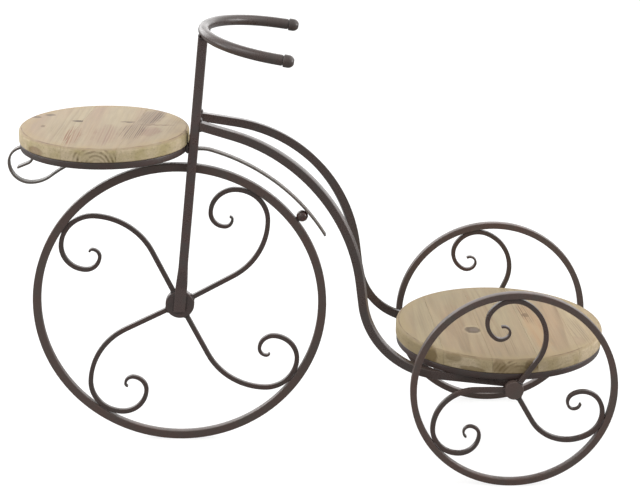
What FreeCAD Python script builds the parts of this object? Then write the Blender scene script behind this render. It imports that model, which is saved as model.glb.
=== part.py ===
import FreeCAD, Part
import math
import os

os.makedirs("parts", exist_ok=True)

V = FreeCAD.Vector
origin = V(0, 0, 0)
axis_x = V(1, 0, 0)
axis_y = V(0, 1, 0)
axis_z = V(0, 0, 1)

# All sizes in millimetres and degrees. The front of the bicycle points to -X and its left side to -Y.
# While it is built, x = 0 is at the front axle and z = 0 on the floor.

# Wheels
front_wheel_radius = 175.0
rear_wheel_radius = 119.5
wheelbase = 388.2
rim_width = 9.0
front_rim_thick = 9.8
rear_rim_thick = 7.5
front_hub_width = 10.0
rear_hub_width = 8.0
front_hub_radius = 17.2
rear_hub_radius = 11.0
axle_radius = 4.0

# Scroll spokes of square bar, set by hand: the angle of each, and its bends as (share of the wheel radius, turn).
# The taper is the bar's share of its full width in each of the last bends.
spoke_side = 5.6
spoke_depth = 5.6
spoke_taper = (1.0, 1.0, 0.94, 0.82, 0.66, 0.54)
front_spoke_angles = (116.5, 29.3, -62.7, -153.0)
front_spoke_bends = ((0.455, 60.5), (0.219, 90.0), (0.167, 90.0), (0.096, 90.0), (0.051, 90.0), (0.02, 65.0))
front_spoke_touch = 1
left_spoke_angles = (55.5, -59.6, -179.4)
right_spoke_angles = (66.3, -53.7, -173.7)
rear_spoke_bends = ((0.404, 90.0), (0.259, 90.0), (0.193, 90.0), (0.091, 90.0), (0.061, 137.0))
rear_spoke_touch = 1

# Shelves: wooden discs of glued boards on rings of square bar; joints are shares of the disc's radius
ring_side = 8.0
wood_overhang = 1.0
front_shelf_radius = 98.2
front_shelf_thick = 16.1
front_board_angle = -8.0
front_board_joints = (-0.3, 0.34)
ring_above_wheel = 19.1
ring_to_leg = 0.4
lug_width = 12.0
lug_height = 7.0
rear_shelf_radius = 123.7
rear_shelf_thick = 17.2
rear_board_angle = 3.0
rear_board_joints = (-0.645, -0.217, 0.212, 0.64)
rear_shelf_ahead = 4.8
shelf_to_spoke = 0.6

# Tabs welded inside the rings, each with one wood screw from below
front_tab_angles = (90.0, 210.0, 330.0)
rear_tab_angles = (0.0, 120.0, 240.0)
tab_width = 16.0
tab_length = 17.0
tab_thick = 3.0
screw_inset = 10.0
screw_radius = 2.0
screw_in_wood = 10.0
screw_head_radius = 4.0
screw_head = 2.2

# Fork
fork_lean_angle = 4.95
leg_side = 10.8
leg_y_top = 24.0
leg_y_low = 11.3
foot_width = 14.0
foot_thick = 4.0
foot_taper_from = 46.0
foot_taper_to = 22.0
foot_below_axle = 9.0

# Handlebar
bar_above_shelf = 116.7
bar_radius = 6.2
bar_bend_radius = 93.3
bar_bend_angle = 86.0
bar_arm = 7.1
bar_slope_angle = 8.2
bar_turn_angle = -2.4
leg_top_below_bar = 3.0
cap_radius = 7.5
cap_neck_radius = 5.4
cap_neck = 1.2
ball_steps = 6
ball_sides = 16
ball_flat_share = 0.3

# Frame tubes and the sleeve that carries the rear axle
tube_side = 10.0
tube_above_shelf = 8.6
tube_first_angle = 12.1
tube_shoulder_radius = 195.0
tube_steep_angle = 81.9
tube_foot_radius = 90.0
tail_run = 86.5
tail_rise = 5.0
tail_inset = 6.4
tail_over_sleeve = 3.0
sleeve_radius = 6.5
sleeve_play = 1.0

# Flat strip: fender over the front wheel, then a scroll under the front shelf
strip_thick = 2.5
strip_width = 10.0
strip_crest_x = 26.3
crest_bend_radius = 39.5
crest_turn = 16.3
fender_radius = 235.3
fender_turn = 42.3
dip_turn = 37.8
dip_radius = 39.2
scroll_rise_radius = 24.3
scroll_top_radius = 18.3
scroll_seat = 0.1
curl_radius = 10.0
curl_turn = 157.0
curl_end = 12.5
ball_angle = 37.6

# Clearances
weld_gap = 0.2
running_gap = 0.06
hole_gap = 0.25
pilot_gap = 0.05
blind_gap = 0.5

# Places that follow from the sizes above
front_axle_z = front_wheel_radius
rear_axle_z = rear_wheel_radius
front_ring_low = 2 * front_wheel_radius + ring_above_wheel
front_ring_top = front_ring_low + ring_side
front_shelf_top = front_ring_top + front_shelf_thick
front_ring_radius = front_shelf_radius - wood_overhang
bar_z = front_shelf_top + bar_above_shelf
tube_z = front_shelf_top + tube_above_shelf
wheel_y = rear_shelf_radius + shelf_to_spoke + spoke_depth / 2
hub_face_y = wheel_y - rear_hub_width / 2
sleeve_half = hub_face_y - sleeve_play
tail_y = sleeve_half - tail_inset
tail_z = rear_axle_z + tail_rise
rear_ring_low = tail_z + tube_side / 2
rear_ring_radius = rear_shelf_radius - wood_overhang
rear_shelf_x = wheelbase - rear_shelf_ahead


def leg_x(z):
    return (z - front_axle_z) * math.tan(math.radians(fork_lean_angle))


def leg_y(z):
    low = front_axle_z + foot_taper_from
    return leg_y_low + (leg_y_top - leg_y_low) * (z - low) / (bar_z - low)


front_ring_x = leg_x(front_ring_low) - leg_side / 2 - ring_to_leg - front_ring_radius
strip_z = front_ring_low - weld_gap - strip_thick / 2


def at(p):
    return V(p[0], 0, p[1])


def ahead(p, heading, length):
    a = math.radians(heading)
    return (p[0] + length * math.cos(a), p[1] + length * math.sin(a))


# A run of straight stretches (length,) and tangent bends (radius, turn) in the XZ plane; left turns are positive
def chain(start, heading, steps):
    edges = []
    here = start
    for step in steps:
        if len(step) == 1:
            there = ahead(here, heading, step[0])
            edges.append(Part.makeLine(at(here), at(there)))
        else:
            radius, turn = step
            side = math.copysign(90.0, turn)
            centre = ahead(here, heading + side, radius)
            middle = ahead(centre, heading - side + turn / 2, radius)
            heading += turn
            there = ahead(centre, heading - side, radius)
            edges.append(Part.Arc(at(here), at(middle), at(there)).toShape())
        here = there
    return edges, here, heading


# A bar of even depth along such a run; widths gives its width after each step, and a round tip may close it
def band(start, heading, steps, width, depth, widths=None, round_tip=False):
    widths = widths or [width] * len(steps)
    edges = []
    firsts = []
    lasts = []
    for side in (1, -1):
        offset = []
        for step, w in zip(steps, widths):
            if len(step) == 2:
                step = (step[0] - side * math.copysign(w / 2, step[1]), step[1])
            offset.append(step)
        first = ahead(start, heading + 90 * side, width / 2)
        side_edges, last, end_heading = chain(first, heading, offset)
        edges += side_edges
        firsts.append(first)
        lasts.append(last)
    edges.append(Part.makeLine(at(firsts[0]), at(firsts[1])))
    if round_tip:
        middle = [(a + b) / 2 for a, b in zip(*lasts)]
        nose = ahead(middle, end_heading, widths[-1] / 2)
        edges.append(Part.Arc(at(lasts[0]), at(nose), at(lasts[1])).toShape())
    else:
        edges.append(Part.makeLine(at(lasts[0]), at(lasts[1])))
    solid = Part.Face(Part.Wire(Part.__sortEdges__(edges))).extrude(V(0, depth, 0))
    solid.translate(V(0, -depth / 2, 0))
    return solid


def rod(radius, x, z, y_from, y_to):
    return Part.makeCylinder(radius, y_to - y_from, V(x, y_from, z), axis_y)


def hoop(radius, thick, x, y, z):
    low = y - rim_width / 2
    high = y + rim_width / 2
    return rod(radius, x, z, low, high).cut(rod(radius - thick, x, z, low, high))


# A wheel's spokes about its own axis: the straight start of each is as long as its touch on the rim needs
def spokes(angles, shares, touch, hub_radius, wheel_radius, rim_thick, place):
    bends = [(share * wheel_radius, turn) for share, turn in shares]
    widths = [spoke_side] + [spoke_side * share for share in spoke_taper[-len(bends):]]
    reach = wheel_radius - rim_thick - weld_gap - bends[touch][0] - widths[touch + 1] / 2
    heading = 0.0
    centre = (0.0, 0.0)
    for radius, turn in bends[:touch]:
        centre = ahead(centre, heading + 90, radius)
        heading += turn
        centre = ahead(centre, heading - 90, radius)
    centre = ahead(centre, heading + 90, bends[touch][0])
    sunk = hub_radius / 2
    straight = math.sqrt(reach**2 - centre[1] ** 2) - centre[0] - sunk
    one = band((sunk, 0.0), 0.0, [(straight,)] + bends, spoke_side, spoke_depth, widths, True)
    one = one.cut(rod(hub_radius + weld_gap, 0, 0, -spoke_depth, spoke_depth))
    return turned(one, axis_y, [-angle for angle in angles], place)


# Copies of a shape turned about an axis through the origin, then moved to their place
def turned(shape, axis, angles, place):
    copies = []
    for angle in angles:
        copy = shape.copy()
        copy.rotate(origin, axis, angle)
        copy.translate(place)
        copies.append(copy)
    return Part.makeCompound(copies)


def front_wheel():
    z = front_axle_z
    bends = (front_spoke_angles, front_spoke_bends, front_spoke_touch)
    sizes = (front_hub_radius, front_wheel_radius, front_rim_thick)
    return {
        "front_rim": hoop(front_wheel_radius, front_rim_thick, 0, 0, z),
        "front_hub": rod(front_hub_radius, 0, z, -front_hub_width / 2, front_hub_width / 2),
        "front_spokes": spokes(*bends, *sizes, V(0, 0, z)),
    }


# Both rear wheels turn together: their plain hubs are welded to the ends of one axle
def rear_wheels():
    x = wheelbase
    z = rear_axle_z
    sizes = (rear_hub_radius, rear_wheel_radius, rear_rim_thick)
    made = {"rear_axle": rod(axle_radius, x, z, -hub_face_y, hub_face_y)}
    for side, sign, angles in (("left", -1, left_spoke_angles), ("right", 1, right_spoke_angles)):
        y = sign * wheel_y
        made[f"rear_rim_{side}"] = hoop(rear_wheel_radius, rear_rim_thick, x, y, z)
        made[f"rear_hub_{side}"] = rod(rear_hub_radius, x, z, y - rear_hub_width / 2, y + rear_hub_width / 2)
        made[f"rear_spokes_{side}"] = spokes(angles, rear_spoke_bends, rear_spoke_touch, *sizes, V(x, y, z))
    return made


def axle_sleeve():
    outer = rod(sleeve_radius, wheelbase, rear_axle_z, -sleeve_half, sleeve_half)
    return outer.cut(rod(axle_radius + running_gap, wheelbase, rear_axle_z, -sleeve_half, sleeve_half))


# Sections (place, radius) of a ball along X, from a given radius on its near side to a small flat on the far one
def ball_sections(radius, middle, near_radius):
    first = math.asin(near_radius / radius)
    last = math.pi - math.asin(ball_flat_share)
    turns = [first + (last - first) * i / ball_steps for i in range(ball_steps + 1)]
    return [(middle - radius * math.cos(a), radius * math.sin(a)) for a in turns]


# A small ball ground in flats, one band of them between each two sections
def ground_ball(sections):
    turns = [2 * math.pi * i / ball_sides for i in range(ball_sides + 1)]
    loops = [[V(x, r * math.cos(a), r * math.sin(a)) for a in turns] for x, r in sections]
    flats = [loops[0], loops[-1]]
    for near, far in zip(loops, loops[1:]):
        for i in range(ball_sides):
            flats.append([near[i], near[i + 1], far[i + 1], far[i], near[i]])
    return Part.Solid(Part.Shell([Part.Face(Part.makePolygon(flat)) for flat in flats]))


# Brings what is drawn flat about the bend's front point into the sloping plane of the handlebar
def to_bar(shape):
    shape.rotate(origin, axis_x, -90)
    shape.rotate(origin, axis_y, bar_slope_angle)
    shape.rotate(origin, axis_z, bar_turn_angle)
    shape.translate(V(leg_x(bar_z), 0, bar_z))
    return shape


# The bend's two ends with the way that each arm leaves it
def bar_arms():
    bend = math.radians(bar_bend_angle)
    arms = []
    for sign in (-1, 1):
        place = at((bar_bend_radius * (1 - math.cos(bend)), sign * bar_bend_radius * math.sin(bend)))
        arms.append((sign, place, at((math.sin(bend), sign * math.cos(bend)))))
    return arms


def handlebar(radius):
    arms = bar_arms()
    section = Part.Face(Part.Wire([Part.makeCircle(radius, arms[0][1], arms[0][2])]))
    bar = section.revolve(V(bar_bend_radius, 0, 0), axis_y, 2 * bar_bend_angle)
    for sign, place, way in arms:
        bar = bar.fuse(Part.makeCylinder(radius, bar_arm, place, way))
    return to_bar(bar)


# A ball on a narrow neck closes each end of the handlebar
def handlebar_caps():
    middle = cap_neck + math.sqrt(cap_radius**2 - cap_neck_radius**2)
    sections = [(0.0, cap_neck_radius)] + ball_sections(cap_radius, middle, cap_neck_radius)
    caps = []
    for sign, place, way in bar_arms():
        cap = ground_ball(sections)
        cap.rotate(origin, axis_y, sign * (bar_bend_angle - 90))
        cap.translate(place + way * bar_arm)
        caps.append(to_bar(cap))
    return Part.makeCompound(caps)


# Square tube, drawn down to a flat foot that lies on the face of the front hub
def fork_leg(sign):
    foot_y = (front_hub_width + foot_thick) / 2
    square = (bar_z - leg_top_below_bar, front_axle_z + foot_taper_from)
    flat = (front_axle_z + foot_taper_to, front_axle_z - foot_below_axle)
    levels = [(z, leg_side, leg_side, leg_y(z)) for z in square]
    levels += [(z, foot_width, foot_thick, foot_y) for z in flat]
    wires = []
    for z, across, thick, y in levels:
        corners = ((-across, -thick), (across, -thick), (across, thick), (-across, thick))
        points = [V(leg_x(z) + a / 2, sign * y + b / 2, z) for a, b in corners]
        wires.append(Part.makePolygon(points + points[:1]))
    leg = Part.makeLoft(wires, True, True).cut(handlebar(bar_radius + weld_gap))
    return max(leg.Solids, key=lambda s: s.Volume)


# Everything ahead of (-1) or behind (1) a plane in line with the fork's lean
def space(side, x, z):
    size = front_wheel_radius + wheelbase
    block = Part.makeBox(size, size, size, V(min(side, 0) * size, -size / 2, -size / 2))
    block.rotate(origin, axis_y, fork_lean_angle)
    block.translate(V(x, 0, z))
    return block


# Square tube bent in one upright plane, from the leg's rear face down to the axle sleeve.
# Its tail is as long as set, and the first run and the steep drop between the bends fill what is left.
# The rear ring sits in a flat ground into it.
def frame_tube(sign):
    x = leg_x(tube_z)
    y = leg_y(tube_z)
    splay = math.atan2(tail_y - y, wheelbase - x)
    first = math.radians(tube_first_angle)
    steep = math.radians(tube_steep_angle)
    fall = tube_shoulder_radius * (math.cos(first) - math.cos(steep)) + tube_foot_radius * (1 - math.cos(steep))
    run = tube_shoulder_radius * (math.sin(steep) - math.sin(first)) + tube_foot_radius * math.sin(steep)
    down = tube_z - tail_z - fall
    along = (wheelbase - tail_over_sleeve - x) / math.cos(splay) - tail_run - run
    first_run = (along * math.sin(steep) - down * math.cos(steep)) / math.sin(steep - first)
    drop = (down * math.cos(first) - along * math.sin(first)) / math.sin(steep - first)
    steps = [
        (first_run,),
        (tube_shoulder_radius, tube_first_angle - tube_steep_angle),
        (drop,),
        (tube_foot_radius, tube_steep_angle),
        (tail_run,),
    ]
    tube = band((0.0, tube_z), -tube_first_angle, steps, tube_side, tube_side)
    tube.rotate(origin, axis_z, sign * math.degrees(splay))
    tube.translate(V(x, sign * y, 0))
    tube = tube.cut(space(-1, x + leg_side / 2, tube_z))
    tube = tube.cut(rod(sleeve_radius + weld_gap, wheelbase, rear_axle_z, -wheel_y, wheel_y))
    seat = V(rear_shelf_x, 0, rear_ring_low - weld_gap)
    return tube.cut(Part.makeCylinder(rear_ring_radius + weld_gap, ring_side, seat))


def shelf_ring(x, low, radius):
    outer = Part.makeCylinder(radius, ring_side, V(x, 0, low))
    return outer.cut(Part.makeCylinder(radius - ring_side, ring_side, V(x, 0, low)))


# Short blocks that bridge the front ring and the fork legs
def ring_lugs():
    middle = front_ring_low + ring_side / 2
    ring = Part.makeCylinder(front_ring_radius + weld_gap, ring_side, V(front_ring_x, 0, front_ring_low))
    behind = space(1, leg_x(middle) - leg_side / 2, middle)
    lugs = []
    for sign in (-1, 1):
        corner = V(front_ring_x, sign * leg_y(middle) - lug_width / 2, middle - lug_height / 2)
        block = Part.makeBox(front_shelf_radius + leg_side, lug_width, lug_height, corner)
        lugs.append(block.cut(ring).cut(behind))
    return Part.makeCompound(lugs)


def screw_place(ring_radius, z):
    return V(ring_radius - ring_side - screw_inset, 0, z)


def ring_tab(ring_radius, top):
    low = top - tab_thick
    start = V(ring_radius - ring_side - tab_length, -tab_width / 2, low)
    tab = Part.makeBox(tab_length, tab_width, tab_thick, start)
    tab = tab.common(Part.makeCylinder(ring_radius - ring_side - weld_gap, tab_thick, V(0, 0, low)))
    return tab.cut(Part.makeCylinder(screw_radius + hole_gap, tab_thick, screw_place(ring_radius, low)))


def wood_screw(ring_radius, top):
    place = screw_place(ring_radius, top - tab_thick - screw_head)
    head = Part.makeCylinder(screw_head_radius, screw_head, place)
    return head.fuse(Part.makeCylinder(screw_radius, screw_head + tab_thick + screw_in_wood, place))


# A disc on its ring: boards glued edge to edge, with a blind pilot hole for each screw
def shelf(name, x, low, radius, thick, joints, board_angle, tab_angles):
    ring_radius = radius - wood_overhang
    top = low + ring_side
    place = V(x, 0, 0)
    depth = screw_in_wood + blind_gap
    pilot = Part.makeCylinder(screw_radius + pilot_gap, depth, screw_place(ring_radius, top))
    made = {
        f"{name}_ring": shelf_ring(x, low, ring_radius),
        f"{name}_ring_tabs": turned(ring_tab(ring_radius, top), axis_z, tab_angles, place),
        f"{name}_shelf_screws": turned(wood_screw(ring_radius, top), axis_z, tab_angles, place),
    }
    disc = Part.makeCylinder(radius, thick, V(x, 0, top)).cut(turned(pilot, axis_z, tab_angles, place))
    limits = [-radius] + [share * radius for share in joints] + [radius]
    for i in range(len(limits) - 1):
        lane = Part.makeBox(limits[i + 1] - limits[i], 2 * radius, thick, V(limits[i], -radius, top))
        lane.rotate(origin, axis_z, board_angle)
        lane.translate(place)
        made[f"{name}_board_{i + 1}"] = disc.common(lane)
    return made


# The fender follows the wheel behind the fork, runs flat under the ring and ends ahead of it in a scroll
def fender_strip():
    back = [(crest_bend_radius, -crest_turn), (fender_radius, -fender_turn)]
    end, end_heading = chain((strip_crest_x, strip_z), 0.0, back)[1:]
    dip = math.radians(dip_turn)
    descent_radius = (scroll_rise_radius + scroll_top_radius) / (1 - math.cos(dip)) - dip_radius
    reach = (descent_radius + dip_radius) * math.sin(dip) + scroll_rise_radius - scroll_top_radius
    seat_x = front_ring_x - front_ring_radius + ring_side / 2 + scroll_seat
    steps = [
        (fender_radius, fender_turn),
        (crest_bend_radius, crest_turn),
        (strip_crest_x - reach - seat_x,),
        (descent_radius, dip_turn),
        (dip_radius, -dip_turn),
        (scroll_rise_radius, -90.0),
        (scroll_top_radius, -90.0),
        (curl_radius, -curl_turn),
        (curl_end,),
    ]
    return band(end, end_heading + 180, steps, strip_thick, strip_width, None, True)


# The ball fills the gap between the rim and the fender
def fender_ball():
    bend_end, heading = chain((strip_crest_x, strip_z), 0.0, [(crest_bend_radius, -crest_turn)])[1:]
    centre = ahead(bend_end, heading - 90, fender_radius)
    way = ahead((0.0, 0.0), ball_angle, 1.0)
    along = centre[0] * way[0] + (centre[1] - front_axle_z) * way[1]
    off = centre[0] ** 2 + (centre[1] - front_axle_z) ** 2 - along**2
    fender_reach = along + math.sqrt((fender_radius - strip_thick / 2) ** 2 - off)
    radius = (fender_reach - front_wheel_radius) / 2 - weld_gap
    ball = ground_ball(ball_sections(radius, 0.0, radius * ball_flat_share))
    ball.rotate(origin, axis_y, -ball_angle)
    ball.translate(at(ahead((0.0, front_axle_z), ball_angle, (fender_reach + front_wheel_radius) / 2)))
    return ball


def stand():
    made = {
        "handlebar": handlebar(bar_radius),
        "handlebar_caps": handlebar_caps(),
        "front_ring_lugs": ring_lugs(),
        "fender_strip": fender_strip(),
        "fender_ball": fender_ball(),
        "axle_sleeve": axle_sleeve(),
    }
    for side, sign in (("left", -1), ("right", 1)):
        made[f"fork_leg_{side}"] = fork_leg(sign)
        made[f"frame_tube_{side}"] = frame_tube(sign)
    made.update(front_wheel())
    made.update(rear_wheels())
    front = (front_shelf_radius, front_shelf_thick, front_board_joints, front_board_angle, front_tab_angles)
    rear = (rear_shelf_radius, rear_shelf_thick, rear_board_joints, rear_board_angle, rear_tab_angles)
    made.update(shelf("front", front_ring_x, front_ring_low, *front))
    made.update(shelf("rear", rear_shelf_x, rear_ring_low, *rear))
    return made


# The finished stand is centred over its own length
parts = stand()
front_end = parts["fender_strip"].optimalBoundingBox(False, False).XMin
rear_end = wheelbase + rear_wheel_radius
middle_x = (front_end + rear_end) / 2
for name, shape in parts.items():
    shape.translate(V(-middle_x, 0, 0))
    shape.exportStep(f"parts/{name}.step")
print(f"{len(parts)} pieces, front axle at x = {-middle_x:.2f}, rear axle at x = {wheelbase - middle_x:.2f}")
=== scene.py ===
import bmesh
import bpy
import math
from mathutils import Matrix, Vector


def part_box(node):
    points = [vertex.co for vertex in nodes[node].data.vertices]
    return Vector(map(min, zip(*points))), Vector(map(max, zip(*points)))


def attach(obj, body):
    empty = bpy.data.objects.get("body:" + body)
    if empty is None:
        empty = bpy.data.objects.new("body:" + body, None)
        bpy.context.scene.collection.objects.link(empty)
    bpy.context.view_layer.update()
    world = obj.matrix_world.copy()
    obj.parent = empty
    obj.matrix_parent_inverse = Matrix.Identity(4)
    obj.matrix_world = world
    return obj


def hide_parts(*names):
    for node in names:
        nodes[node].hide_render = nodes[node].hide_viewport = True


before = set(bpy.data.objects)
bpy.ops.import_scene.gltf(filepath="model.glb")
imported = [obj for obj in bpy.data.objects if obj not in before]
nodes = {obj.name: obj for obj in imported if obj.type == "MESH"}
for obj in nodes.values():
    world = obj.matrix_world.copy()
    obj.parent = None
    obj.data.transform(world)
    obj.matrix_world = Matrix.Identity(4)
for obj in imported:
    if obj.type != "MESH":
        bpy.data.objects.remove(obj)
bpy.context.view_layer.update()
mm = 0.001
sharpTurn = math.radians(40)  # an edge that turns more is rounded on a bar, and sharp on a new piece
bpy.ops.object.select_all(action="DESELECT")
print("frame loaded:", len(nodes), "nodes")


# camera at the photograph's viewing angle

cameraLook = {
    "target": (0.01185, 0.0, 0.2451),
    "distance": 2.29,
    "azimuth": 1.896,  # degrees to the left of square-on
    "elevation": 18.839,
    "roll": 1.085,
    "lens": 108.52,
    "sensor": 36.0,
    "clipEnd": 200.0,
}


def placeCamera(look):
    az, el, roll = (math.radians(look[key]) for key in ("azimuth", "elevation", "roll"))
    forward = Vector((math.sin(az) * math.cos(el), math.cos(az) * math.cos(el), -math.sin(el)))
    right = Vector((math.cos(az), -math.sin(az), 0))
    up = right.cross(forward)
    across = right * math.cos(roll) + up * math.sin(roll)
    upright = up * math.cos(roll) - right * math.sin(roll)
    turn = Matrix((across, upright, -forward)).transposed().to_4x4()
    bpy.ops.object.camera_add()
    camera = bpy.context.object
    camera.matrix_world = Matrix.Translation(Vector(look["target"]) - forward * look["distance"]) @ turn
    camera.data.lens = look["lens"]
    camera.data.sensor_width = look["sensor"]
    camera.data.sensor_fit = "HORIZONTAL"
    camera.data.clip_end = look["clipEnd"]
    bpy.context.scene.camera = camera


# node helpers: a socket is linked, anything else is set

def put(tree, kind, inputs=None, **options):
    node = tree.nodes.new("ShaderNode" + kind)
    for key, value in options.items():
        setattr(node, key, value)
    for key, value in (inputs or {}).items():
        if isinstance(value, bpy.types.NodeSocket):
            tree.links.new(value, node.inputs[key])
        else:
            node.inputs[key].default_value = value
    return node


def calc(tree, operation, a, b=0.0):
    return put(tree, "Math", {0: a, 1: b}, operation=operation).outputs[0]


def times(tree, first, *others):
    for other in others:
        first = calc(tree, "MULTIPLY", first, other)
    return first


def remap(tree, value, low, high, toLow=0.0, toHigh=1.0, smooth=False):
    kind = "SMOOTHSTEP" if smooth else "LINEAR"
    inputs = {"Value": value, "From Min": low, "From Max": high, "To Min": toLow, "To Max": toHigh}
    return put(tree, "MapRange", inputs, interpolation_type=kind).outputs[0]


def hump(tree, value, rise, fall, smooth=False):  # two ranges together, such as a rise and a fall
    return times(tree, remap(tree, value, *rise, smooth=smooth), remap(tree, value, *fall))


def mixValue(tree, factor, a, b):
    return put(tree, "Mix", {0: factor, 2: a, 3: b}).outputs[0]


def mixColor(tree, factor, a, b, mode="MIX"):
    return put(tree, "Mix", {0: factor, 6: a, 7: b}, data_type="RGBA", blend_type=mode).outputs[2]


def noise(tree, place, scale, detail):
    inputs = {"Vector": place, "Scale": scale, "Detail": detail, "Roughness": 0.55}
    return put(tree, "TexNoise", inputs).outputs[0]


def vector(tree, operation, a, b=(0.0, 0.0, 0.0)):
    node = put(tree, "VectorMath", {0: a, 1: b}, operation=operation)
    return node.outputs["Value" if operation == "LENGTH" else "Vector"]


def axes(tree, value):
    return put(tree, "SeparateXYZ", {0: value}).outputs


def grey(tree, value):
    return put(tree, "CombineXYZ", {0: value, 1: value, 2: value}).outputs[0]


def wobble(tree, place, scale, size):  # an uneven shift of up to half the size each way
    drift = put(tree, "TexNoise", {"Vector": place, "Scale": scale, "Detail": 2.0}).outputs["Color"]
    return vector(tree, "MULTIPLY", vector(tree, "SUBTRACT", drift, (0.5, 0.5, 0.5)), size)


def lengthen(tree, place, share):  # draws a pattern out along the grain
    return vector(tree, "MULTIPLY", place, (1.0, share, 1.0))


def flatten(tree, place):
    return vector(tree, "MULTIPLY", place, (1.0, 1.0, 0.0))


def randomTone(tree, phase, seed):  # one tone for each ring or line
    number = calc(tree, "ADD", calc(tree, "FLOOR", phase), seed)
    return put(tree, "TexWhiteNoise", {"W": number}, noise_dimensions="1D").outputs[0]


def objectPlace(tree):
    return put(tree, "TexCoord").outputs["Object"]


def placeFrom(tree, place, middle, turn):  # a pattern's own place, centred and turned
    where = {"Vector": place, "Location": middle, "Rotation": turn}
    return put(tree, "Mapping", where, vector_type="TEXTURE").outputs[0]


def newGroup(name, ins, outs):
    group = bpy.data.node_groups.new(name, "ShaderNodeTree")
    for direction, sockets in (("INPUT", ins), ("OUTPUT", outs)):
        for socketName, kind in sockets:
            group.interface.new_socket(name=socketName, in_out=direction, socket_type="NodeSocket" + kind)
    return group, group.nodes.new("NodeGroupInput").outputs, group.nodes.new("NodeGroupOutput").inputs


def useGroup(tree, group, inputs):
    return put(tree, "Group", inputs, node_tree=group).outputs


def newMaterial(name):
    material = bpy.data.materials.new(name)
    material.use_nodes = True
    return material, material.node_tree, material.node_tree.nodes["Principled BSDF"]


def coat(tree, shader, color, rough, height, bump):
    strength, deep = bump
    normal = put(tree, "Bump", {"Height": height, "Strength": strength, "Distance": deep}).outputs[0]
    for key, socket in (("Base Color", color), ("Roughness", rough), ("Normal", normal)):
        tree.links.new(socket, shader.inputs[key])


def rgb(*screen):  # screen values to linear light
    linear = (((c / 255 + 0.055) / 1.055) ** 2.4 if c > 10 else c / 3295 for c in screen)
    return (*linear, 1.0)


# brown satin paint on all the ironwork
# in the looks a noise is (scale per metre, detail), a wobble (scale per metre, size in metres)
# and a range (from, to) or (from, to, low, high)

skinLook = {
    "patchDetail": 4, "warmRange": (0.42, 0.66),
    "cloud": (62.0, 4), "cloudShift": (3.1, 0.7, 1.9), "coolRange": (0.48, 0.7, 0.0, 0.8),
    "grit": (900.0, 2), "speckRange": (0.3, 0.7, 0.87, 1.13), "gritHigh": 0.6,
    "peel": (2600.0, 1), "peelHigh": 0.4,
    "roughRange": (0.3, 0.7, 0.24, 0.35), "gritRough": (0.3, 0.7, -0.04, 0.04),
    "bump": (0.1, 0.0005),  # strength, depth in metres
}


def makePaintSkin(look):
    group, given, result = newGroup(
        "paintSkin",
        [("Place", "Vector"), ("Base", "Color"), ("Warm", "Color"), ("Cool", "Color"), ("Patch", "Float"),
         ("Dull", "Float")],
        [("Color", "Color"), ("Rough", "Float"), ("Height", "Float")],
    )
    place = given["Place"]
    patches = noise(group, place, given["Patch"], look["patchDetail"])
    clouds = noise(group, vector(group, "ADD", place, look["cloudShift"]), *look["cloud"])
    grit = noise(group, place, *look["grit"])
    peel = noise(group, place, *look["peel"])
    color = mixColor(group, remap(group, patches, *look["warmRange"]), given["Base"], given["Warm"])
    color = mixColor(group, remap(group, clouds, *look["coolRange"]), color, given["Cool"])
    speck = remap(group, grit, *look["speckRange"])
    color = mixColor(group, 1.0, color, grey(group, speck), "MULTIPLY")
    group.links.new(color, result["Color"])
    rough = remap(group, clouds, *look["roughRange"])
    rough = calc(group, "ADD", rough, remap(group, grit, *look["gritRough"]))
    group.links.new(calc(group, "ADD", rough, given["Dull"]), result["Rough"])
    height = calc(group, "ADD", times(group, grit, look["gritHigh"]), times(group, peel, look["peelHigh"]))
    group.links.new(height, result["Height"])
    return group


paintSkin = makePaintSkin(skinLook)

paintTones = {
    # base, warm and cool tone, patches per metre, dullness, gloss
    "tubePaint": ((68, 57, 53), (72, 56, 51), (66, 60, 56), 11.0, 0.0, 0.65),
    "legPaint": ((78, 66, 63), (84, 65, 61), (75, 69, 66), 11.0, 0.0, 0.65),
    "wheelPaint": ((89, 76, 71), (93, 75, 69), (85, 78, 73), 14.0, 0.08, 0.34),
    "hubPaint": ((76, 61, 58), (82, 61, 56), (64, 59, 56), 60.0, 0.0, 0.65),
    "ballPaint": ((60, 46, 42), (86, 52, 47), (84, 86, 70), 190.0, 0.0, 0.65),
    "scrollPaint": ((76, 64, 60), (80, 63, 58), (72, 66, 62), 18.0, 0.02, 0.4),
    # the strip's paint is paler and greyer than the tube paint: painted sheen for the pale reflection on its
    # top face
    "stripPaint": ((98, 90, 83), (100, 86, 79), (94, 90, 84), 16.0, 0.16, 0.65),
    # the rings' paint is darker than the tube paint: painted shade from the boards above them
    "ringPaint": ((62, 49, 45), (68, 49, 44), (58, 51, 47), 14.0, 0.1, 0.65),
    "weldPaint": ((45, 33, 30), (54, 36, 32), (46, 41, 38), 60.0, 0.1, 0.65),
}


def makePaint(name, base, warm, cool, patch, dull, gloss):
    material, tree, shader = newMaterial(name)
    tones = {"Base": rgb(*base), "Warm": rgb(*warm), "Cool": rgb(*cool), "Patch": patch, "Dull": dull}
    skin = useGroup(tree, paintSkin, {"Place": objectPlace(tree), **tones})
    coat(tree, shader, skin["Color"], skin["Rough"], skin["Height"], skinLook["bump"])
    shader.inputs["Specular IOR Level"].default_value = gloss
    return material


paints = {name: makePaint(name, *tones) for name, tones in paintTones.items()}


# bright steel of the screws

steelLook = {
    "bright": rgb(168, 164, 152), "tarnish": rgb(120, 112, 98),
    "dull": (160.0, 3), "dullRange": (0.35, 0.65),
    "brush": (700.0, 3), "brushWay": (1.0, 1.0, 9.0), "roughRange": (0.3, 0.7, 0.3, 0.5),
    "bump": (0.2, 0.0003),
}


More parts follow.
